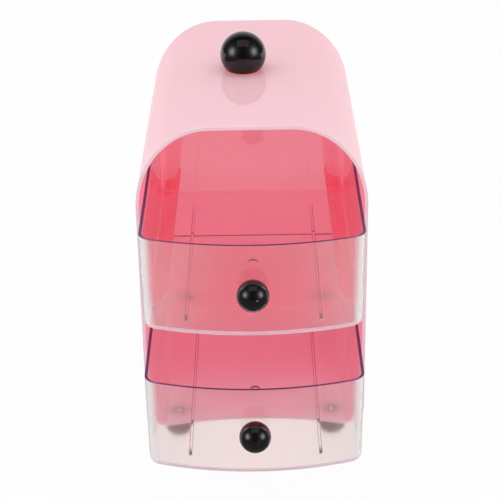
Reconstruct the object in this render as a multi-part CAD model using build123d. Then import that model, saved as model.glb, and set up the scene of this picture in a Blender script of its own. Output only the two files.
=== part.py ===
from build123d import *
import math
import os

# Makeup storage case: an arch-shaped case with a closed back, two clear bowed drawers,
# and black balls as its handle, drawer knobs and feet.
# Millimetres. +Z up, the front faces -Y, X = 0 is the case's middle plane.
# The origin is on the ground, under the middle of the whole object's box as it stands
# with both drawers partly open.

# ---- driving dimensions -------------------------------------------------------------

# Case
CASE_WIDTH = 140.0            # outside, at the open front
CASE_HEIGHT = 208.5           # underside to flat top
CASE_DEPTH = 199.0            # open front to closed back
CASE_WALL = 2.0
CASE_SIDE_DRAFT = 1.0         # each side wall comes in by this much from front to back
SHOULDER_WIDTH = 45.7         # the top corners are quarter ellipses
SHOULDER_HEIGHT = 51.7
BOTTOM_CORNER_RADIUS = 13.6
BACK_EDGE_RADIUS = 1.5        # outer edge round the closed back
FLOOR_SCALLOP = 7.6           # depth of the hollow in the floor's front edge

# Gutters: quarter-round rails along the side walls that carry the upper drawer
GUTTER_REACH = 14.7           # side wall's inner face to the lip's inner face, at the front
GUTTER_RADIUS = 11.0          # of the rail's underside
GUTTER_WALL = 2.0
GUTTER_LIP_ROUND = 0.9
GUTTER_SETBACK = 4.0          # from the case's front edge

# Drawers: two alike
DRAWER_SETBACK = 2.2          # front corners behind the case's front edge, when closed
DRAWER_BOW = 11.6             # how far the front's middle stands out past its corners
DRAWER_WALL = 1.8
DRAWER_DRAFT = 0.8            # every wall comes in by this much from rim to underside
DRAWER_FRONT_CORNER = 10.0    # plan radius of the front corners
DRAWER_BACK_CORNER = 6.0      # plan radius of the back corners
DRAWER_BOTTOM_EDGE = 3.6      # radius round the underside
UPPER_RIM_RISE = 0.4          # upper drawer's rim above the foot of the case's shoulders
LOWER_HEADROOM = 19.1         # lower drawer's rim to the gutters' underside

# Runners: two ribs under each drawer
RUNNER_INSET = 25.7           # from the drawer's side to a rib's middle
RUNNER_WIDTH = 2.2            # at the root
RUNNER_HEIGHT = 3.6
RUNNER_DRAFT = 4.0            # degrees, on all four sides
RUNNER_END_ROUND = 1.2
RUNNER_FRONT_MARGIN = 13.0    # from the drawer's front corners
RUNNER_BACK_MARGIN = 16.0     # from the drawer's back

# Balls: drawer knobs and feet are alike, the handle on top is larger
BALL_DIAMETER = 19.1
BALL_SEAT = 6.5               # from the ball's centre to the flat it is fixed on
KNOB_RISE = 1.3               # a knob's middle above the middle of its drawer's front
HANDLE_DIAMETER = 29.4
HANDLE_SEAT = 9.8
SEAT_EDGE_ROUND = 0.6
HANDLE_OFFSET = -4.5          # the handle stands a little left of the middle
FOOT_FLAT = 0.3               # worn flat that a foot stands on
FOOT_SIDE_INSET = 20.0        # from the case's side
FRONT_FOOT_INSET = 16.0       # from the case's front edge
BACK_FOOT_INSET = 29.0        # from the case's back

# Screws that hold the balls
SCREW_DIAMETER = 2.8
SCREW_HEAD_DIAMETER = 5.6
SCREW_HEAD_HEIGHT = 2.0
SCREW_HEAD_EDGE = 0.8         # straight side of the domed head
SCREW_BITE = 6.0              # length inside the ball
SCREW_POINT = 0.8             # chamfer at the tip

# Clearances
SLIDE_GAP = 0.25              # drawer to what carries it
SIDE_GAP = 0.8                # drawer to each side of the case, where the case is narrowest
BACK_GAP = 0.5                # closed drawer to the case's back
SCREW_HOLE_GAP = 0.2          # round a screw in a wall
THREAD_GAP = 0.05             # round a screw in a ball
HEAD_GAP = 0.1                # under a screw head in a drawer's curved front
CUT_PAST = 2.0                # a hole's cutter runs this far past both faces

# How far each drawer stands open, from fully closed
UPPER_DRAWER_PULL = 44.1
LOWER_DRAWER_PULL = 53.4

# ---- derived places -----------------------------------------------------------------

ball_radius = BALL_DIAMETER / 2
handle_radius = HANDLE_DIAMETER / 2
ball_seat_radius = math.sqrt(ball_radius**2 - BALL_SEAT**2)
foot_height = BALL_SEAT + ball_radius - FOOT_FLAT
case_bottom = foot_height
case_top = case_bottom + CASE_HEIGHT

# Heights above the case's underside. The lower drawer's ribs stand on the floor, the
# upper drawer's rim comes up to the case's shoulders, and the two drawers are alike.
lower_underside = CASE_WALL + SLIDE_GAP + RUNNER_HEIGHT
upper_rim = CASE_HEIGHT - SHOULDER_HEIGHT + UPPER_RIM_RISE
height_for_both = upper_rim - SLIDE_GAP - GUTTER_RADIUS - LOWER_HEADROOM - lower_underside
drawer_height = height_for_both / 2
upper_underside = upper_rim - drawer_height
gutter_top = upper_underside - SLIDE_GAP

# Outside, across the rim, and from the front corners to the back
drawer_width = CASE_WIDTH - 2 * (CASE_WALL + CASE_SIDE_DRAFT + SIDE_GAP)
drawer_length = CASE_DEPTH - CASE_WALL - BACK_GAP - DRAWER_SETBACK
runner_x = drawer_width / 2 - RUNNER_INSET

# The drawer's bow is one circular arc through its corners and its middle.
bow_radius = ((drawer_width / 2) ** 2 + DRAWER_BOW**2) / (2 * DRAWER_BOW)
bow_centre = bow_radius - DRAWER_BOW
front_slope = DRAWER_DRAFT / drawer_height
knob_height = drawer_height / 2 + KNOB_RISE
front_face_at_knob = -DRAWER_BOW + DRAWER_DRAFT * (1 - knob_height / drawer_height)
knob_seat_gap = ball_seat_radius * front_slope
knob_seat = front_face_at_knob - knob_seat_gap

knob_reach = BALL_SEAT + ball_radius
front_reach = LOWER_DRAWER_PULL - DRAWER_SETBACK - knob_seat + knob_reach
case_front = (front_reach - CASE_DEPTH) / 2
case_back = case_front + CASE_DEPTH

lower_drawer_place = Pos(
    0,
    case_front + DRAWER_SETBACK - LOWER_DRAWER_PULL,
    case_bottom + lower_underside,
)
upper_drawer_place = Pos(
    0,
    case_front + DRAWER_SETBACK - UPPER_DRAWER_PULL,
    case_bottom + upper_underside,
)
foot_x = CASE_WIDTH / 2 - FOOT_SIDE_INSET
foot_places = {
    "front_left": (-foot_x, case_front + FRONT_FOOT_INSET),
    "front_right": (foot_x, case_front + FRONT_FOOT_INSET),
    "back_left": (-foot_x, case_back - BACK_FOOT_INSET),
    "back_right": (foot_x, case_back - BACK_FOOT_INSET),
}
handle_place = (HANDLE_OFFSET, (case_front + case_back) / 2)


# ---- case ---------------------------------------------------------------------------

def upright(y):
    """Plane whose sketch x and y are the world's X and Z, at depth y."""
    return Plane(origin=(0, y, case_bottom), x_dir=(1, 0, 0), z_dir=(0, -1, 0))


def draft_at(depth):
    """How far each side wall has come in, this far behind the front edge."""
    return CASE_SIDE_DRAFT * depth / CASE_DEPTH


def arch_face(inset, depth):
    """The case's arch outline, set in by a wall, at a depth behind the front edge."""
    half = CASE_WIDTH / 2 - inset - draft_at(depth)
    top = CASE_HEIGHT - inset
    shoulder_x = SHOULDER_WIDTH - inset
    shoulder_z = SHOULDER_HEIGHT - inset
    corner = BOTTOM_CORNER_RADIUS - inset
    flat_half = half - shoulder_x
    spring = top - shoulder_z
    foot = inset + corner
    outline = [
        EllipticalCenterArc((flat_half, spring), shoulder_x, shoulder_z, start_angle=0, arc_size=90),
        Line((flat_half, top), (-flat_half, top)),
        EllipticalCenterArc((-flat_half, spring), shoulder_x, shoulder_z, start_angle=90, arc_size=90),
        Line((-half, spring), (-half, foot)),
        CenterArc((-half + corner, foot), corner, 180, 90),
        Line((-half + corner, inset), (half - corner, inset)),
        CenterArc((half - corner, foot), corner, 270, 90),
        Line((half, foot), (half, spring)),
    ]
    return upright(case_front + depth) * make_face(outline)


def gutter(side):
    """Quarter-round rail, open at the top; side is 1 on the right and -1 on the left.

    Its root and its far end lie in the middle of the case's walls.
    """
    lip = CASE_WIDTH / 2 - CASE_WALL - GUTTER_REACH
    centre = lip + GUTTER_RADIUS
    inner = GUTTER_RADIUS - GUTTER_WALL
    low = gutter_top - GUTTER_RADIUS
    root = CASE_WIDTH / 2 - CASE_WALL / 2
    outline = [
        CenterArc((centre, gutter_top), GUTTER_RADIUS, 180, 90),
        Line((centre, low), (root, low)),
        Line((root, low), (root, low + GUTTER_WALL)),
        Line((root, low + GUTTER_WALL), (centre, low + GUTTER_WALL)),
        CenterArc((centre, gutter_top), inner, 180, 90),
        Line((lip + GUTTER_WALL, gutter_top), (lip, gutter_top)),
    ]
    section = make_face(outline)
    lip_corners = section.vertices().sort_by(Axis.X)[:2]
    section = fillet(lip_corners, GUTTER_LIP_ROUND)
    length = CASE_DEPTH - CASE_WALL / 2 - GUTTER_SETBACK
    run = Vector(-draft_at(length), length, 0)
    start = Pos(-draft_at(GUTTER_SETBACK), 0, 0) * upright(case_front + GUTTER_SETBACK) * section
    rail = extrude(start, amount=run.length, dir=run.normalized())
    if side < 0:
        rail = mirror(rail, about=Plane.YZ)
    return rail


def floor_scallop():
    """Shallow arc cut out of the floor's front edge, between the bottom corners."""
    half = CASE_WIDTH / 2 - BOTTOM_CORNER_RADIUS
    edge = [
        ThreePointArc((-half, case_front), (0, case_front + FLOOR_SCALLOP), (half, case_front)),
        Line((half, case_front), (-half, case_front)),
    ]
    return extrude(Pos(0, 0, case_bottom) * make_face(edge), amount=CASE_WALL)


def screw_hole(x, y, z):
    """Cutter for an upright screw through a case wall whose middle is at z."""
    return Pos(x, y, z) * Cylinder(SCREW_DIAMETER / 2 + SCREW_HOLE_GAP, CASE_WALL + 2 * CUT_PAST)


def make_case():
    shell = loft([arch_face(0, 0), arch_face(0, CASE_DEPTH)], ruled=True)
    back_face = shell.faces().sort_by(Axis.Y)[-1]
    shell = fillet(back_face.edges(), BACK_EDGE_RADIUS)
    cavity_depth = CASE_DEPTH - CASE_WALL
    shell -= loft([arch_face(CASE_WALL, 0), arch_face(CASE_WALL, cavity_depth)], ruled=True)
    shell += gutter(1)
    shell += gutter(-1)
    shell -= floor_scallop()
    for x, y in foot_places.values():
        shell -= screw_hole(x, y, case_bottom + CASE_WALL / 2)
    shell -= screw_hole(*handle_place, case_top - CASE_WALL / 2)
    return shell


# ---- drawers ------------------------------------------------------------------------
# A drawer is drawn with X = 0 in its middle, Y = 0 at its rim's front corners and
# Z = 0 at its underside.

def tray_plan(inset, z):
    """The drawer's plan outline, set in all round, at height z."""
    half = drawer_width / 2 - inset
    radius = bow_radius - inset
    corner_y = bow_centre - math.sqrt(radius**2 - half**2)
    back_y = drawer_length - inset
    outline = [
        ThreePointArc((-half, corner_y), (0, bow_centre - radius), (half, corner_y)),
        Polyline((half, corner_y), (half, back_y), (-half, back_y), (-half, corner_y)),
    ]
    plan = make_face(outline)
    front_corners = plan.vertices().sort_by(Axis.Y)[:2]
    plan = fillet(front_corners, DRAWER_FRONT_CORNER - inset)
    back_corners = plan.vertices().sort_by(Axis.Y)[-2:]
    plan = fillet(back_corners, DRAWER_BACK_CORNER - inset)
    return Pos(0, 0, z) * plan


def tray_block(inset, floor):
    """Solid tray form with drafted walls, rounded round its underside."""
    low_inset = inset + DRAWER_DRAFT * (1 - floor / drawer_height)
    block = loft([tray_plan(low_inset, floor), tray_plan(inset, drawer_height)], ruled=True)
    underside = block.faces().sort_by(Axis.Z)[0]
    return fillet(underside.edges(), DRAWER_BOTTOM_EDGE - inset)


def runner(x):
    """Rib under the drawer that it slides on, its ends rounded where they leave the ground."""
    length = drawer_length - RUNNER_FRONT_MARGIN - RUNNER_BACK_MARGIN
    middle = RUNNER_FRONT_MARGIN + length / 2
    root = Pos(x, middle, DRAWER_WALL / 2) * Rot(180, 0, 0) * Rectangle(RUNNER_WIDTH, length)
    rib = extrude(root, amount=RUNNER_HEIGHT + DRAWER_WALL / 2, taper=RUNNER_DRAFT)
    low_ends = rib.faces().sort_by(Axis.Z)[0].edges().filter_by(Axis.X)
    return fillet(low_ends, RUNNER_END_ROUND)


def make_drawer():
    tray = tray_block(0, 0) - tray_block(DRAWER_WALL, DRAWER_WALL)
    tray += runner(runner_x)
    tray += runner(-runner_x)
    hole = Cylinder(SCREW_DIAMETER / 2 + SCREW_HOLE_GAP, 2 * (DRAWER_WALL + CUT_PAST))
    tray -= Pos(0, front_face_at_knob, knob_height) * Rot(90, 0, 0) * hole
    return tray


# ---- balls and screws ---------------------------------------------------------------
# Both are drawn about Z: a ball stands on its seat at Z = 0, and a screw's head is
# below Z = 0 with its shank above, inside the ball.

def make_ball(radius, seat, flat=0.0):
    """Ball with a flat seat, a blind screw hole and, on a foot, a flat to stand on."""
    seat_radius = math.sqrt(radius**2 - seat**2)
    tip = seat + radius - flat
    tip_radius = math.sqrt(radius**2 - (radius - flat) ** 2)
    hole = SCREW_DIAMETER / 2 + THREAD_GAP
    hole_end = SCREW_BITE + THREAD_GAP
    outline = [
        Line((hole, 0), (seat_radius, 0)),
        ThreePointArc((seat_radius, 0), (radius, seat), (tip_radius, tip)),
        Line((0, tip), (0, hole_end)),
        Line((0, hole_end), (hole, hole_end)),
        Line((hole, hole_end), (hole, 0)),
    ]
    if flat > 0:
        outline.append(Line((tip_radius, tip), (0, tip)))
    half_section = make_face(outline)
    seat_corner = half_section.vertices().sort_by_distance((seat_radius, 0))[0]
    half_section = fillet(seat_corner, SEAT_EDGE_ROUND)
    return revolve(Plane.XZ * half_section, Axis.Z)


def make_screw(wall):
    """Domed screw through a wall, the head's bearing face at Z = 0."""
    shank = SCREW_DIAMETER / 2
    head = SCREW_HEAD_DIAMETER / 2
    end = wall + SCREW_BITE
    dome = SCREW_HEAD_HEIGHT - SCREW_HEAD_EDGE
    dome_radius = (head**2 + dome**2) / (2 * dome)
    half_angle = math.asin(head / dome_radius) / 2
    dome_middle = (
        dome_radius * math.sin(half_angle),
        dome_radius * (1 - math.cos(half_angle)) - SCREW_HEAD_HEIGHT,
    )
    outline = [
        Line((0, -SCREW_HEAD_HEIGHT), (0, end)),
        Line((0, end), (shank - SCREW_POINT, end)),
        Line((shank - SCREW_POINT, end), (shank, end - SCREW_POINT)),
        Line((shank, end - SCREW_POINT), (shank, 0)),
        Line((shank, 0), (head, 0)),
        Line((head, 0), (head, -SCREW_HEAD_EDGE)),
        ThreePointArc((head, -SCREW_HEAD_EDGE), dome_middle, (0, -SCREW_HEAD_HEIGHT)),
    ]
    return revolve(Plane.XZ * make_face(outline), Axis.Z)


def foot_parts():
    """Each foot ball hangs under the floor; its screw's head lies on the floor inside."""
    parts = {}
    downward = Rot(180, 0, 0)
    foot = make_ball(ball_radius, BALL_SEAT, FOOT_FLAT)
    screw = make_screw(CASE_WALL)
    for corner, (x, y) in foot_places.items():
        parts[f"{corner}_foot"] = Pos(x, y, case_bottom) * downward * foot
        parts[f"{corner}_foot_screw"] = Pos(x, y, case_bottom + CASE_WALL) * downward * screw
    return parts


def handle_parts():
    """The large ball on the case's top and the screw that holds it from below."""
    x, y = handle_place
    ball = make_ball(handle_radius, HANDLE_SEAT)
    return {
        "top_knob": Pos(x, y, case_top) * ball,
        "top_knob_screw": Pos(x, y, case_top - CASE_WALL) * make_screw(CASE_WALL),
    }


def drawer_parts(name, place):
    """A drawer with the knob in the middle of its front and the knob's screw."""
    outward = Rot(90, 0, 0)
    seat = place * Pos(0, knob_seat, knob_height)
    bearing = place * Pos(0, front_face_at_knob + DRAWER_WALL + HEAD_GAP, knob_height)
    reach = DRAWER_WALL + HEAD_GAP + knob_seat_gap
    return {
        name: place * make_drawer(),
        f"{name}_knob": seat * outward * make_ball(ball_radius, BALL_SEAT),
        f"{name}_knob_screw": bearing * outward * make_screw(reach),
    }


# ---- all pieces ---------------------------------------------------------------------

pieces = {"case_body": make_case()}
pieces.update(handle_parts())
pieces.update(foot_parts())
pieces.update(drawer_parts("upper_drawer", upper_drawer_place))
pieces.update(drawer_parts("lower_drawer", lower_drawer_place))

os.makedirs("parts", exist_ok=True)
for node, solid in pieces.items():
    export_step(solid, f"parts/{node}.step")
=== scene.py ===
import math

import bmesh
import bpy
from mathutils import Matrix, Vector


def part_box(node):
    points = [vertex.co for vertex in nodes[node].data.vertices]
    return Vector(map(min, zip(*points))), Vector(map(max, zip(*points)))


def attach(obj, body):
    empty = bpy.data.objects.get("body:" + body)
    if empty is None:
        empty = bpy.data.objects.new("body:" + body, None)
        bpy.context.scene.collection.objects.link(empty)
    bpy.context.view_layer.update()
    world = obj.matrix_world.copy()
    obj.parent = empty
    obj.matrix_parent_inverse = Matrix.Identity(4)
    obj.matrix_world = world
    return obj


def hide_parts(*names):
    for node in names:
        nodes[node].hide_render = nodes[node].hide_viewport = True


# The looks of a makeup storage case: glossy translucent pink plastic, two clear drawers
# with a faint purple tint, glossy black balls and steel screws.
# Metres, in the part's own frame: +Z up, the front faces -Y.

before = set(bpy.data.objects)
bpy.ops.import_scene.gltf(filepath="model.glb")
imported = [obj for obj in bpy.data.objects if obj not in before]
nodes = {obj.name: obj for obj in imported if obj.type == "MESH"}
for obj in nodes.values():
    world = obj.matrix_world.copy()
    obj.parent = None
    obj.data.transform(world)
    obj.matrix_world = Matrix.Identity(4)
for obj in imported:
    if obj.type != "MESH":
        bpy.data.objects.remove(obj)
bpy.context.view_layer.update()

# ---- named values -------------------------------------------------------------------

# Camera, where the picture was taken from: from the middle of the case's lower front edge
CAMERA_PLACE = Vector((0.003305, -0.817394, 0.541774))
CAMERA_PITCH = 0.468965          # down, radians
CAMERA_YAW = -0.006019
CAMERA_ROLL = -0.017175
CAMERA_LENS = 108.106            # mm, on the sensor below
CAMERA_SENSOR = 36.0

# Surfaces: roughness is lowest, highest and scale; waves are scale, strength and depth
PINK_ROUGHNESS = (0.03, 0.06, 40.0)
PINK_WAVES = (260.0, 0.03, 0.0003)
CLEAR_ROUGHNESS = (0.01, 0.03, 30.0)
CLEAR_WAVES = (120.0, 0.02, 0.0003)
BLACK_ROUGHNESS = (0.05, 0.12, 60.0)
BLACK_WAVES = (300.0, 0.02, 0.0003)
STEEL_ROUGHNESS = (0.22, 0.38, 900.0)
STEEL_WAVES = (2500.0, 0.1, 0.0001)
GATE_ROUGHNESS = (0.3, 0.5, 900.0)
PLASTIC_IOR = 1.5
BALL_BLACK = (0.006, 0.004, 0.005, 1.0)
GATE_DARK = (0.04, 0.01, 0.03, 1.0)
STEEL_GREY = (0.62, 0.62, 0.63, 1.0)
WHITE = (1.0, 1.0, 1.0, 1.0)

# Case: its pinks, some with painted shade and painted light in them
OUTER_PINK = (0.93, 0.76, 0.81, 1.0)
# painted shade: the inner faces are deeper pink for the shade and bounced light inside the case
INNER_PINK_PAINTED_SHADE = (0.99, 0.55, 0.635, 1.0)
# painted shade: the gutters are deepest pink for the shade and bounced light in them
GUTTER_PINK_PAINTED_SHADE = (0.95, 0.36, 0.45, 1.0)
# painted light: the case's front rim is paler for the light it catches
FRONT_RIM_PINK_PAINTED_LIGHT = (1.0, 0.90, 0.93, 1.0)
# painted light: the floor is paler toward its front for the light that reaches it there
FLOOR_FRONT_PINK_PAINTED_LIGHT = (1.0, 0.80, 0.87, 1.0)
SEAT_LINE_PAINTED_GLOW_PINK = (1.0, 0.42, 0.38, 1.0)         # painted reflection and glow on the thin line round the handle's seat
LIGHT_THROUGH_PINK = (1.0, 0.77, 0.81, 1.0)     # at each face that light goes through
SHARE_THROUGH = 0.4              # of the light that the pink plastic lets through

# Case: for telling its faces apart
CASE_MIDDLE_HEIGHT = 0.12
CASE_INNER_HALF = 0.0675
INNER_SLACK = 0.002              # an inner face looks to the case's middle by more than this
BACK_FROM = 0.1                  # the back's inner face is behind here
BACK_FACING = -0.5               # and faces forward at least this much
GUTTER_MIDDLE_HEIGHT = 0.1067
GUTTER_HALF_HEIGHT = 0.0075
GUTTER_END = 0.07                # faces that look forward or back behind here aren't a gutter's
FLOOR_TOP = 0.0178               # the case's floor, inside
FLOOR_PAINTED_LIGHT = (0.03, -0.05, 0.0, 0.95)           # along Y from here to here, how much painted light there is at each
SEAT_LINE_RADIUS = 0.0117
SEAT_LINE_HALF = 0.0009
SEAT_LINE_PAINTED_GLOW_STRENGTH = 0.4             # painted glow there, as of light that comes up through the plastic

# Drawers: the tints of their clear plastic, with painted shade on the rim and the ribs
CLEAR_TINT = (0.974, 0.945, 0.918, 1.0)
# painted shade: the rim is darker for the long way light goes along the wall
RIM_PAINTED_SHADE_TINT = (0.16, 0.04, 0.16, 1.0)
# painted shade along the ribs' edges
RIB_EDGE_PAINTED_SHADE_TINT = (0.50, 0.24, 0.36, 1.0)
# painted shade at the ribs' front ends
RIB_END_PAINTED_SHADE_TINT = (0.05, 0.02, 0.08, 1.0)
LIGHT_THROUGH_CLEAR = (0.97, 0.955, 0.97, 1.0)  # at each face that light goes through
ABSORPTION_COLOUR = (0.45, 0.0, 0.85, 1.0)      # in depth
ABSORPTION = 6.0
UNDERSIDE_ROUGHNESS = {"upper_drawer": 0.03, "lower_drawer": 0.19}

# Drawers: for telling their faces apart
FACE_SLACK = 0.0003              # for telling a level face by its height
LEVEL_FACING = 0.9               # a level face looks up or down by more than this
RUNNER_HEIGHT = 0.0036           # of the ribs under a drawer's floor
RUNNER_INSET = 0.0257            # from the drawer's side to a rib's middle
RIB_CORE_HALF = 0.0004           # half the clear middle of a rib
RIB_END_REACH = (0.0336, 0.027)  # from the front of a drawer, where the dark end starts and is full
RIB_BACK_FADE = (0.03, 0.02)     # from the back of a drawer, where the dark edges fade out
RIB_BACK_END = 0.0185            # from there to the back, a rib doesn't bend light
FRONT_REACH = 0.03               # from a drawer's bow to behind its front corners
FRONT_FACING = (-0.005, -0.2)    # how far forward a face of it looks, where it starts and is full
BACK_WALL_REACH = 0.0045         # from a drawer's back to in front of its back wall
BACK_WALL_LEAN = 0.037           # how far the wall has warped inward, as a slope

# Drawers: the light that their clear plastic scatters, with a painted reflection and painted shade
HAZE = 0.009                     # of its look, at each of its faces
HAZE_COLOUR = (0.95, 0.93, 0.93, 1.0)
PAINTED_REFLECTION_VEIL = 0.45                      # painted reflection: white haze on a drawer's front where it turns out of sight
PAINTED_REFLECTION_FACING = (0.05, 0.75)       # how far aside or down it looks, where that starts and is full
RIM_PAINTED_SHADE_SHARE = 0.45                  # painted shade: share of the rim's light that doesn't pass through it
# painted shade on the rim
RIM_PAINTED_SHADE_COLOUR = (0.22, 0.07, 0.19, 1.0)
UNDER_GLOW = 0.8                 # the share that glows with light from above where it turns under
UNDER_GLOW_COLOUR = (0.87, 0.99, 0.99, 1.0)
UNDER_FACING = (0.02, 0.35)      # how far down it looks, where that starts and is full

# Gate scar: the small bow left under each drawer's floor where it was moulded
GATE_RADIUS = 0.0029
GATE_WIRE = 0.0006               # half its thickness, in its middle
GATE_SPAN = (-0.1, 3.24)         # radians, over the scar's rear
GATE_FROM_BACK = 0.1085          # from the drawer's back to the bow's middle
GATE_STEPS = 32                  # along the bow
GATE_SIDES = 10                  # round it

# Screw head recess
RECESS_REACH = 0.0017            # from the head's middle to the end of each arm
RECESS_HALF_WIDTH = 0.00036
RECESS_DEPTH = 0.0011
RECESS_TAPER = 0.45              # of the reach that is left at the bottom
RECESS_MOUTH_RISE = 0.0003       # the cutter starts this far above the head

# World, along Y from in front to behind: from where to where, and its level at each
WORLD_GREY = (0.8, 0.8, 0.8, 1.0)               # at level 1
WORLD_LIGHT = (-0.5, 0.1, 0.3, 1.35)
WORLD_BACKDROP = (0.35, 1.0, 0.02, 1.3)         # its mirror image

# The soft boxes' mirror images in the world, brightest toward this direction
GLOW_TOWARD = (0.84, -0.42, 0.35)
GLOW_CORE = (30.0, 6.0)          # how narrow and how bright
GLOW_HALO = (5.0, 0.5)

# Floor, and its mirror image: its level in front and behind, and a small lamp low at the front
FLOOR_REACH = 6.0
FLOOR_GREY = (0.86, 0.86, 0.86, 1.0)
FLOOR_WHITE_SHARE = 0.95         # of its look that is plain white; the rest shows the shadow
MIRRORED_FLOOR = (0.1, 0.35, 0.22, 1.1)         # from where to where along Y, the level at each
SMALL_LAMP = (0.4, -0.9)
SMALL_LAMP_HALF = (0.02, 0.2)
SMALL_LAMP_GLOW = 50.0

# Lamps: name, place, width, height, power, and whether they show in glossy faces
LAMPS_AIM = (0.0, 0.0, 0.14)
LAMPS = (
    ("left_softbox", (-1.0, -0.41, 0.57), 0.8, 0.8, 1.6, False),
    ("right_softbox", (1.0, -0.41, 0.57), 0.8, 0.8, 1.6, False),
    ("overhead", (0.0, -0.3, 1.5), 1.3, 0.9, 2.0, True),
    ("overhead_fill", (0.0, -0.3, 1.6), 2.4, 2.0, 4.5, False),
    ("front_fill", (0.0, -1.6, 1.0), 2.6, 2.0, 3.6, False),
)


# ---- node helpers -------------------------------------------------------------------

def new_material(name):
    """A material with an empty node tree but for its output."""
    material = bpy.data.materials.new(name)
    material.use_nodes = True
    tree = material.node_tree
    tree.nodes.clear()
    output = tree.nodes.new("ShaderNodeOutputMaterial")
    return material, tree, output


def feed(tree, value, socket):
    """Links another node's socket to an input, or sets it to a number or colour."""
    if isinstance(value, bpy.types.NodeSocket):
        tree.links.new(value, socket)
    else:
        socket.default_value = value


def add(tree, kind, **values):
    """A node with its inputs fed by name; spaces in a name are written as underscores."""
    node = tree.nodes.new(kind)
    for name, value in values.items():
        feed(tree, value, node.inputs[name.replace("_", " ")])
    return node


def math_node(tree, operation, first, second=0.0):
    """The result of a sum between sockets or numbers."""
    node = tree.nodes.new("ShaderNodeMath")
    node.operation = operation
    for socket, value in zip(node.inputs, (first, second)):
        feed(tree, value, socket)
    return node.outputs[0]


def vector_node(tree, operation, first, second=(0.0, 0.0, 0.0)):
    """A sum between vectors; its results are a vector and a value."""
    node = tree.nodes.new("ShaderNodeVectorMath")
    node.operation = operation
    for socket, value in zip(node.inputs, (first, second)):
        feed(tree, value, socket)
    return node.outputs


def product(tree, first, *others):
    """Sockets or numbers multiplied together, in their order."""
    for other in others:
        first = math_node(tree, "MULTIPLY", first, other)
    return first


def larger(tree, first, second):
    """The larger of two values."""
    return math_node(tree, "MAXIMUM", first, second)


def more_than(tree, value, limit):
    """1 where a value is more than a limit."""
    return math_node(tree, "GREATER_THAN", value, limit)


def less_than(tree, value, limit):
    """1 where a value is less than a limit."""
    return math_node(tree, "LESS_THAN", value, limit)


def unsigned(tree, value):
    """A value without its sign."""
    return math_node(tree, "ABSOLUTE", value)


def near(tree, value, middle, reach):
    """1 where a value is within reach of a middle."""
    return less_than(tree, unsigned(tree, math_node(tree, "SUBTRACT", value, middle)), reach)


def climb(tree, along, low, high, start, end):
    """A level that goes smoothly from start to end as a value goes from low to high."""
    level = add(
        tree, "ShaderNodeMapRange",
        Value=along, From_Min=low, From_Max=high, To_Min=start, To_Max=end,
    )
    level.interpolation_type = "SMOOTHSTEP"
    return level.outputs["Result"]


def mixed_colour(tree, factor, first, second):
    """A colour between two others, each a colour or a socket."""
    mix = tree.nodes.new("ShaderNodeMix")
    mix.data_type = "RGBA"
    for name, value in (("Factor", factor), ("A", first), ("B", second)):
        feed(tree, value, mix.inputs[name])
    return mix.outputs["Result"]


def mixed_shader(tree, factor, first, second):
    """A shader between two others."""
    mix = tree.nodes.new("ShaderNodeMixShader")
    for socket, value in zip(mix.inputs, (factor, first, second)):
        feed(tree, value, socket)
    return mix.outputs[0]


def axes_of(tree, vector):
    """A vector's X, Y and Z."""
    return tuple(add(tree, "ShaderNodeSeparateXYZ", Vector=vector).outputs)


def object_place(tree):
    """Each point's place in its object."""
    return tree.nodes.new("ShaderNodeTexCoord").outputs["Object"]


def object_axes(tree):
    """Place and facing, each as X, Y and Z."""
    facing = tree.nodes.new("ShaderNodeTexCoord").outputs["Normal"]
    return axes_of(tree, object_place(tree)), axes_of(tree, facing)


def orange_peel(tree, scale, strength, distance):
    """Faint waviness of a moulded face, as a normal."""
    noise = add(tree, "ShaderNodeTexNoise", Vector=object_place(tree), Scale=scale, Detail=2.0, Roughness=0.5)
    bump = add(tree, "ShaderNodeBump", Height=noise.outputs["Fac"], Strength=strength, Distance=distance)
    return bump.outputs["Normal"]


def handled_roughness(tree, low, high, scale):
    """Roughness that wanders a little, as on plastic that has been handled."""
    noise = add(tree, "ShaderNodeTexNoise", Vector=object_place(tree), Scale=scale, Detail=3.0, Roughness=0.6)
    span = add(tree, "ShaderNodeMapRange", Value=noise.outputs["Fac"], To_Min=low, To_Max=high)
    return span.outputs["Result"]


def light_passes(tree, shader, tint, ray_kinds, passing=0.0):
    """Lets light rays of these kinds straight through, tinted, and shades the rest.

    Where passing is 1, every ray goes through.
    """
    clear = add(tree, "ShaderNodeBsdfTransparent", Color=tint)
    ray = tree.nodes.new("ShaderNodeLightPath")
    for kind in ray_kinds:
        passing = larger(tree, ray.outputs[kind], passing)
    return mixed_shader(tree, passing, shader, clear.outputs[0])


# ---- pink plastic -------------------------------------------------------------------

def inside_case(tree, at, facing):
    """1 on the case's inner faces."""
    across = product(tree, at[0], facing[0])
    upward = product(tree, math_node(tree, "SUBTRACT", at[2], CASE_MIDDLE_HEIGHT), facing[2])
    toward_middle = less_than(tree, math_node(tree, "ADD", across, upward), -INNER_SLACK)
    back = product(tree, more_than(tree, at[1], BACK_FROM), less_than(tree, facing[1], BACK_FACING))
    return larger(tree, toward_middle, back)


def on_gutter(tree, at, facing):
    """1 on the gutters, and not on the case's back at their height."""
    off_wall = near(tree, at[0], 0.0, CASE_INNER_HALF)
    beside = product(tree, off_wall, near(tree, at[2], GUTTER_MIDDLE_HEIGHT, GUTTER_HALF_HEIGHT))
    back_wall = more_than(tree, product(tree, at[1], unsigned(tree, facing[1])), GUTTER_END)
    return more_than(tree, beside, back_wall)


def handle_seat_line(tree):
    """1 on the thin line round the handle's seat."""
    low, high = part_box("top_knob")
    seat = ((low[0] + high[0]) / 2, (low[1] + high[1]) / 2, low[2])
    away = vector_node(tree, "DISTANCE", object_place(tree), seat)["Value"]
    return near(tree, away, SEAT_LINE_RADIUS, SEAT_LINE_HALF)


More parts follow.
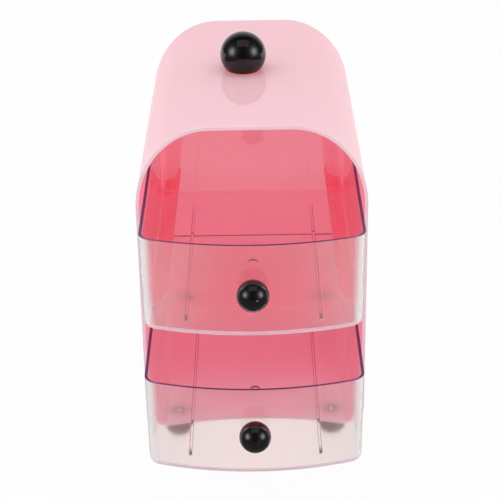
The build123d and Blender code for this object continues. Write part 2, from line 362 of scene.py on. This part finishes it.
def pink_colour(tree, seat_line):
    """Pale outside; painted shade makes it deep inside and deepest on the gutters; painted light on the front
    rim, the handle's seat line and along the floor's front.
    """
    at, facing = object_axes(tree)
    inside = inside_case(tree, at, facing)
    front_rim = near(tree, at[1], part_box("case_body")[0][1], FACE_SLACK)
    floor = product(tree, inside, less_than(tree, at[2], FLOOR_TOP))
    # painted light along the floor's front
    painted_light_floor = product(tree, floor, climb(tree, at[1], *FLOOR_PAINTED_LIGHT))
    # painted shade: deeper pink on the inner faces
    colour = mixed_colour(tree, inside, OUTER_PINK, INNER_PINK_PAINTED_SHADE)
    # painted shade: deepest pink on the gutters
    colour = mixed_colour(tree, on_gutter(tree, at, facing), colour, GUTTER_PINK_PAINTED_SHADE)
    # painted light on the front rim
    colour = mixed_colour(tree, front_rim, colour, FRONT_RIM_PINK_PAINTED_LIGHT)
    # painted reflection on the thin line round the handle's seat
    colour = mixed_colour(tree, seat_line, colour, SEAT_LINE_PAINTED_GLOW_PINK)
    return mixed_colour(tree, painted_light_floor, colour, FLOOR_FRONT_PINK_PAINTED_LIGHT)


def pink_plastic():
    """Glossy translucent plastic of the case, which tints the light that goes through it."""
    material, tree, output = new_material("pink_plastic")
    seat_line = handle_seat_line(tree)
    colour = pink_colour(tree, seat_line)
    shader = add(
        tree, "ShaderNodeBsdfPrincipled",
        Base_Color=colour,
        IOR=PLASTIC_IOR,
        Roughness=handled_roughness(tree, *PINK_ROUGHNESS),
        Normal=orange_peel(tree, *PINK_WAVES),
        # painted glow: the seat line gives out light of its own
        Emission_Color=SEAT_LINE_PAINTED_GLOW_PINK,
        Emission_Strength=product(tree, seat_line, SEAT_LINE_PAINTED_GLOW_STRENGTH),
    )
    glow = add(tree, "ShaderNodeBsdfTranslucent", Color=colour)
    both = mixed_shader(tree, SHARE_THROUGH, shader.outputs[0], glow.outputs[0])
    lit = light_passes(tree, both, LIGHT_THROUGH_PINK, ["Is Shadow Ray"])
    tree.links.new(lit, output.inputs["Surface"])
    return material


# ---- clear plastic ------------------------------------------------------------------

def level_face(tree, at, facing, height):
    """1 on level faces at one height."""
    level = more_than(tree, unsigned(tree, facing[2]), LEVEL_FACING)
    return product(tree, level, near(tree, at[2], height, FACE_SLACK))


def rib_masks(tree, at, low, high):
    """1 on the ribs under a drawer's floor: along their edges, at their front ends and back ends."""
    rib = less_than(tree, at[2], low[2] + RUNNER_HEIGHT - FACE_SLACK)
    core = near(tree, unsigned(tree, at[0]), high[0] - RUNNER_INSET, RIB_CORE_HALF)
    fade = climb(tree, at[1], high[1] - RIB_BACK_FADE[0], high[1] - RIB_BACK_FADE[1], 1.0, 0.0)
    edge = product(tree, more_than(tree, rib, core), fade)
    front = climb(tree, at[1], low[1] + RIB_END_REACH[1], low[1] + RIB_END_REACH[0], 1.0, 0.0)
    back = more_than(tree, at[1], high[1] - RIB_BACK_END)
    return edge, product(tree, rib, front), product(tree, rib, back)


def clear_tint_with_painted_shade(tree, rib_edge, rib_front, rim):
    """Faint purple, with painted shade darkening it along the ribs' edges, at their front ends and on the
    rim.
    """
    # painted shade along the ribs' edges and at their front ends
    tint = mixed_colour(tree, rib_edge, CLEAR_TINT, RIB_EDGE_PAINTED_SHADE_TINT)
    tint = mixed_colour(tree, rib_front, tint, RIB_END_PAINTED_SHADE_TINT)
    # painted shade on the rim
    return mixed_colour(tree, rim, tint, RIM_PAINTED_SHADE_TINT)


def leaning_normal(tree, at, facing, high):
    """The normal of wavy moulded faces, turned a little on a drawer's back wall."""
    back_wall = more_than(tree, at[1], high[1] - BACK_WALL_REACH)
    lean = add(tree, "ShaderNodeCombineXYZ", Z=product(tree, facing[1], back_wall, BACK_WALL_LEAN))
    leaning = vector_node(tree, "ADD", orange_peel(tree, *CLEAR_WAVES), lean.outputs[0])
    return vector_node(tree, "NORMALIZE", leaning["Vector"])["Vector"]


def outer_front(tree, at, facing, low):
    """1 on the outside of a drawer's front, corners and all."""
    outward = climb(tree, facing[1], *FRONT_FACING, 0.0, 1.0)
    return product(tree, outward, less_than(tree, at[1], low[1] + FRONT_REACH))


def hazed_with_painted_light(tree, shader, facing, front, rim):
    """Adds the plastic's haze, with painted shade on the rim and a painted reflection where the front turns
    out of sight.
    """
    away = larger(tree, unsigned(tree, facing[0]), product(tree, facing[2], -1.0))
    # painted reflection where the front turns aside or down
    painted_reflection_share = climb(tree, away, *PAINTED_REFLECTION_FACING, HAZE, PAINTED_REFLECTION_VEIL)
    haze_and_painted_light_share = larger(tree, product(tree, painted_reflection_share, front), HAZE)
    # painted shade on the rim
    haze_and_painted_light_share = larger(tree, haze_and_painted_light_share, product(tree, rim, RIM_PAINTED_SHADE_SHARE))
    colour = mixed_colour(tree, rim, HAZE_COLOUR, RIM_PAINTED_SHADE_COLOUR)
    haze_and_painted_light = add(tree, "ShaderNodeBsdfDiffuse", Color=colour)
    return mixed_shader(tree, haze_and_painted_light_share, shader, haze_and_painted_light.outputs[0])


def glowing_below(tree, shader, facing, front):
    """Adds the light from above that glows where a drawer's front turns under."""
    below = climb(tree, product(tree, facing[2], -1.0), *UNDER_FACING, 0.0, UNDER_GLOW)
    glow = add(tree, "ShaderNodeBsdfTranslucent", Color=UNDER_GLOW_COLOUR)
    return mixed_shader(tree, product(tree, below, front), shader, glow.outputs[0])


def clear_plastic(drawer):
    """Refracting plastic of a drawer, rougher under its floor."""
    low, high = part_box(drawer)
    material, tree, output = new_material(f"clear_plastic_{drawer}")
    at, facing = object_axes(tree)
    rim = level_face(tree, at, facing, high[2])
    underside = level_face(tree, at, facing, low[2] + RUNNER_HEIGHT)
    rib_edge, rib_front, rib_back = rib_masks(tree, at, low, high)
    front = outer_front(tree, at, facing, low)
    matte = product(tree, underside, UNDERSIDE_ROUGHNESS[drawer])
    shader = add(
        tree, "ShaderNodeBsdfPrincipled",
        Base_Color=clear_tint_with_painted_shade(tree, rib_edge, rib_front, rim),
        IOR=PLASTIC_IOR,
        Transmission_Weight=1.0,
        Roughness=larger(tree, handled_roughness(tree, *CLEAR_ROUGHNESS), matte),
        Normal=leaning_normal(tree, at, facing, high),
    )
    edged = glowing_below(tree, hazed_with_painted_light(tree, shader.outputs[0], facing, front, rim), facing, front)
    lit = light_passes(tree, edged, LIGHT_THROUGH_CLEAR, ["Is Shadow Ray", "Is Diffuse Ray"], rib_back)
    tree.links.new(lit, output.inputs["Surface"])
    depth = add(tree, "ShaderNodeVolumeAbsorption", Color=ABSORPTION_COLOUR, Density=ABSORPTION)
    tree.links.new(depth.outputs[0], output.inputs["Volume"])
    return material


# ---- other materials ----------------------------------------------------------------

def black_plastic():
    """Glossy black plastic of the balls, wavy from the mould and a little handled."""
    material, tree, output = new_material("black_plastic")
    shader = add(
        tree, "ShaderNodeBsdfPrincipled",
        Base_Color=BALL_BLACK,
        IOR=PLASTIC_IOR,
        Roughness=handled_roughness(tree, *BLACK_ROUGHNESS),
        Normal=orange_peel(tree, *BLACK_WAVES),
    )
    tree.links.new(shader.outputs[0], output.inputs["Surface"])
    return material


def gate_mark():
    """Dark scar in the clear plastic."""
    material, tree, output = new_material("gate_mark")
    shader = add(
        tree, "ShaderNodeBsdfPrincipled",
        Base_Color=GATE_DARK,
        IOR=PLASTIC_IOR,
        Roughness=handled_roughness(tree, *GATE_ROUGHNESS),
    )
    tree.links.new(shader.outputs[0], output.inputs["Surface"])
    return material


def screw_steel():
    """Steel with the fine grain of a pressed screw head."""
    material, tree, output = new_material("screw_steel")
    shader = add(
        tree, "ShaderNodeBsdfPrincipled",
        Base_Color=STEEL_GREY,
        Metallic=1.0,
        Roughness=handled_roughness(tree, *STEEL_ROUGHNESS),
        Normal=orange_peel(tree, *STEEL_WAVES),
    )
    tree.links.new(shader.outputs[0], output.inputs["Surface"])
    return material


def paint(obj, material):
    """Gives an object this material alone."""
    obj.data.materials.clear()
    obj.data.materials.append(material)


pink = pink_plastic()
clear = {drawer: clear_plastic(drawer) for drawer in UNDERSIDE_ROUGHNESS}
mark = gate_mark()
black = black_plastic()
steel = screw_steel()

for name, obj in nodes.items():
    if name == "case_body":
        paint(obj, pink)
    elif name.endswith("screw"):
        paint(obj, steel)
    elif name.endswith("knob") or name.endswith("foot"):
        paint(obj, black)
    else:
        paint(obj, clear[name])


# ---- small pieces -------------------------------------------------------------------

def new_piece(name, mesh, material, body):
    """A piece of the object, painted and riding on its body."""
    piece = bpy.data.objects.new(name, mesh)
    bpy.context.collection.objects.link(piece)
    paint(piece, material)
    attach(piece, body)
    return piece


def closed_mesh(shape, name):
    """A mesh from a finished shape, its faces turned outward."""
    bmesh.ops.recalc_face_normals(shape, faces=shape.faces)
    mesh = bpy.data.meshes.new(name)
    shape.to_mesh(mesh)
    shape.free()
    return mesh


def gate_ring(shape, centre, step):
    """The ring of corners round the scar's bow at one step along it."""
    turn = GATE_SPAN[0] + (GATE_SPAN[1] - GATE_SPAN[0]) * step / GATE_STEPS
    wire = GATE_WIRE * math.sin(math.pi * (step + 1) / (GATE_STEPS + 2)) ** 0.5
    ring = []
    for side in range(GATE_SIDES):
        round_wire = 2 * math.pi * side / GATE_SIDES
        reach = GATE_RADIUS + wire * math.cos(round_wire)
        rise = wire * math.sin(round_wire)
        offset = Vector((reach * math.cos(turn), reach * math.sin(turn), rise))
        ring.append(shape.verts.new(centre + offset))
    return ring


def gate_scar(drawer):
    """Bow-shaped scar that the mould's gate left on the underside of a drawer's floor."""
    low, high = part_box(drawer)
    centre = Vector((0.0, high[1] - GATE_FROM_BACK, low[2] + RUNNER_HEIGHT - GATE_WIRE))
    shape = bmesh.new()
    rings = [gate_ring(shape, centre, step) for step in range(GATE_STEPS + 1)]
    for here, ahead in zip(rings, rings[1:]):
        for side in range(GATE_SIDES):
            after = (side + 1) % GATE_SIDES
            face = shape.faces.new((here[side], ahead[side], ahead[after], here[after]))
            face.smooth = True
    shape.faces.new(rings[0])
    shape.faces.new(rings[-1])
    mesh = closed_mesh(shape, f"{drawer}_gate_scar")
    return new_piece(f"{drawer}_gate_scar", mesh, mark, drawer)


def recess_cutter(head_top, outward):
    """Tapered cross, its mouth just above the head's top and its point inside the head."""
    turn = Vector((0, 0, 1)).rotation_difference(outward).to_matrix()
    shape = bmesh.new()
    for quarter in (0, 1):
        spin = Matrix.Rotation(quarter * math.pi / 2, 3, "Z")
        levels = ((RECESS_MOUTH_RISE, 1.0), (-RECESS_DEPTH, RECESS_TAPER))
        corners = []
        for rise, share in levels:
            for side_x, side_y in ((-1, -1), (1, -1), (1, 1), (-1, 1)):
                point = Vector((side_x * RECESS_REACH * share, side_y * RECESS_HALF_WIDTH, rise))
                corners.append(shape.verts.new(head_top + turn @ (spin @ point)))
        for quad in ((3, 2, 1, 0), (4, 5, 6, 7), (0, 1, 5, 4), (1, 2, 6, 5), (2, 3, 7, 6), (3, 0, 4, 7)):
            shape.faces.new([corners[k] for k in quad])
    cutter = bpy.data.objects.new("cutter", closed_mesh(shape, "cutter"))
    bpy.context.collection.objects.link(cutter)
    return cutter


def screw_with_recess(node, outward, body):
    """The screw with a cross recess cut into its head."""
    low, high = (Vector(corner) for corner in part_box(node))
    head_top = (low + high) / 2
    for axis in range(3):
        if outward[axis] > 0:
            head_top[axis] = high[axis]
        elif outward[axis] < 0:
            head_top[axis] = low[axis]
    cutter = recess_cutter(head_top, outward)
    blank = bpy.data.objects.new("blank", nodes[node].data.copy())
    bpy.context.collection.objects.link(blank)
    cut = blank.modifiers.new("recess", "BOOLEAN")
    cut.object = cutter
    cut.operation = "DIFFERENCE"
    cut.solver = "EXACT"
    cut.use_self = True
    bpy.context.view_layer.update()
    shaped = blank.evaluated_get(bpy.context.evaluated_depsgraph_get())
    mesh = bpy.data.meshes.new_from_object(shaped)
    mesh.name = f"{node}_shown"
    bpy.data.objects.remove(blank)
    bpy.data.objects.remove(cutter)
    piece = new_piece(f"{node}_shown", mesh, steel, body)
    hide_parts(node)


for drawer in ("upper_drawer", "lower_drawer"):
    gate_scar(drawer)
    screw_with_recess(f"{drawer}_knob_screw", Vector((0, 1, 0)), drawer)
for corner in ("front_left", "front_right", "back_left", "back_right"):
    screw_with_recess(f"{corner}_foot_screw", Vector((0, 0, 1)), "case")
screw_with_recess("top_knob_screw", Vector((0, 0, -1)), "case")


# ---- camera -------------------------------------------------------------------------

def make_camera():
    """The camera at the picture's place, turned by its yaw, pitch and roll."""
    ahead = Vector((
        math.sin(CAMERA_YAW) * math.cos(CAMERA_PITCH),
        math.cos(CAMERA_YAW) * math.cos(CAMERA_PITCH),
        -math.sin(CAMERA_PITCH),
    ))
    level_right = Vector((math.cos(CAMERA_YAW), -math.sin(CAMERA_YAW), 0.0))
    level_up = level_right.cross(ahead)
    right = math.cos(CAMERA_ROLL) * level_right + math.sin(CAMERA_ROLL) * level_up
    up = math.cos(CAMERA_ROLL) * level_up - math.sin(CAMERA_ROLL) * level_right
    data = bpy.data.cameras.new("camera")
    data.lens = CAMERA_LENS
    data.sensor_width = CAMERA_SENSOR
    camera = bpy.data.objects.new("camera", data)
    turn = Matrix((right, up, -ahead)).transposed()
    case_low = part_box("case_body")[0]
    place = CAMERA_PLACE + Vector((0.0, case_low[1], case_low[2]))
    camera.matrix_world = Matrix.Translation(place) @ turn.to_4x4()
    bpy.context.collection.objects.link(camera)
    bpy.context.scene.camera = camera


make_camera()


# ---- studio -------------------------------------------------------------------------

def is_seen(tree, ray):
    """1 for rays to the eye, straight or through clear things."""
    return larger(tree, ray.outputs["Is Camera Ray"], ray.outputs["Is Transmission Ray"])


def white_to_the_eye(tree, ray, lit):
    """Mixes the lit floor with plain white where it is seen."""
    factor = product(tree, is_seen(tree, ray), FLOOR_WHITE_SHARE)
    white = add(tree, "ShaderNodeEmission", Color=WHITE, Strength=1.0)
    return mixed_shader(tree, factor, lit, white.outputs[0])


def floor_image(tree):
    """The floor's mirror image, with the small lamp's patch in it."""
    x, y, _ = axes_of(tree, object_place(tree))
    lamp_x = near(tree, x, SMALL_LAMP[0], SMALL_LAMP_HALF[0])
    lamp_y = near(tree, y, SMALL_LAMP[1], SMALL_LAMP_HALF[1])
    lamp = product(tree, lamp_x, lamp_y, SMALL_LAMP_GLOW)
    strength = larger(tree, climb(tree, y, *MIRRORED_FLOOR), lamp)
    return add(tree, "ShaderNodeEmission", Strength=strength).outputs[0]


def floor_material():
    """Pale floor; its mirror image is bright behind the object and dim in front of it."""
    material, tree, output = new_material("floor")
    lit = add(tree, "ShaderNodeBsdfDiffuse", Color=FLOOR_GREY)
    ray = tree.nodes.new("ShaderNodeLightPath")
    in_mirror = more_than(tree, ray.outputs["Is Glossy Ray"], ray.outputs["Is Transmission Ray"])
    shown = white_to_the_eye(tree, ray, lit.outputs[0])
    tree.links.new(mixed_shader(tree, in_mirror, shown, floor_image(tree)), output.inputs["Surface"])
    return material


def make_floor():
    """A wide plain floor that the object stands on."""
    mesh = bpy.data.meshes.new("floor")
    corners = [(side_x * FLOOR_REACH, side_y * FLOOR_REACH, 0)
               for side_x, side_y in ((-1, -1), (1, -1), (1, 1), (-1, 1))]
    mesh.from_pydata(corners, [], [(0, 1, 2, 3)])
    floor = bpy.data.objects.new("floor", mesh)
    bpy.context.collection.objects.link(floor)
    paint(floor, floor_material())


def glow_part(tree, nearness, narrowness, brightness):
    """A round glow that fades from its middle, faster where it is narrow."""
    return product(tree, math_node(tree, "POWER", nearness, narrowness), brightness)


def side_glow(tree, axes):
    """Two soft boxes, one at each side, brightest in their middles."""
    across = product(tree, unsigned(tree, axes[0]), GLOW_TOWARD[0])
    back = product(tree, axes[1], GLOW_TOWARD[1])
    rise = product(tree, axes[2], GLOW_TOWARD[2])
    toward = math_node(tree, "ADD", across, math_node(tree, "ADD", back, rise))
    nearness = larger(tree, toward, 0.0)
    core = glow_part(tree, nearness, *GLOW_CORE)
    return math_node(tree, "ADD", core, glow_part(tree, nearness, *GLOW_HALO))


def make_world():
    """Bright behind, dim behind the camera, and where it is seen from pale grey to white.

    Its mirror image in glossy things is that of a dark studio with a lit backdrop and a
    soft box at each side.
    """
    world = bpy.data.worlds.new("studio")
    bpy.context.scene.world = world
    world.use_nodes = True
    tree = world.node_tree
    tree.nodes.clear()
    output = tree.nodes.new("ShaderNodeOutputWorld")
    axes = axes_of(tree, tree.nodes.new("ShaderNodeTexCoord").outputs["Generated"])
    lighting = climb(tree, axes[1], *WORLD_LIGHT)
    mirrored = math_node(tree, "ADD", climb(tree, axes[1], *WORLD_BACKDROP), side_glow(tree, axes))
    ray = tree.nodes.new("ShaderNodeLightPath")
    level = add(tree, "ShaderNodeMix", Factor=ray.outputs["Is Glossy Ray"], A=lighting, B=mirrored)
    strength = larger(tree, is_seen(tree, ray), level.outputs["Result"])
    background = add(tree, "ShaderNodeBackground", Color=WORLD_GREY, Strength=strength)
    tree.links.new(background.outputs[0], output.inputs["Surface"])


def area_light(name, place, width, height, power, mirrored):
    """A soft lamp that the camera doesn't see; the soft boxes' mirror images are in the world."""
    data = bpy.data.lights.new(name, "AREA")
    data.shape = "RECTANGLE"
    data.size = width
    data.size_y = height
    data.energy = power
    light = bpy.data.objects.new(name, data)
    light.location = place
    light.rotation_euler = (Vector(LAMPS_AIM) - Vector(place)).to_track_quat("-Z", "Y").to_euler()
    light.visible_camera = False
    light.visible_glossy = mirrored
    bpy.context.collection.objects.link(light)


make_floor()
make_world()
for lamp in LAMPS:
    area_light(*lamp)

scene = bpy.context.scene
scene.view_settings.view_transform = "Standard"
scene.cycles.max_bounces = 24
scene.cycles.transmission_bounces = 24
scene.cycles.glossy_bounces = 6
scene.cycles.transparent_max_bounces = 32
scene.cycles.diffuse_bounces = 5
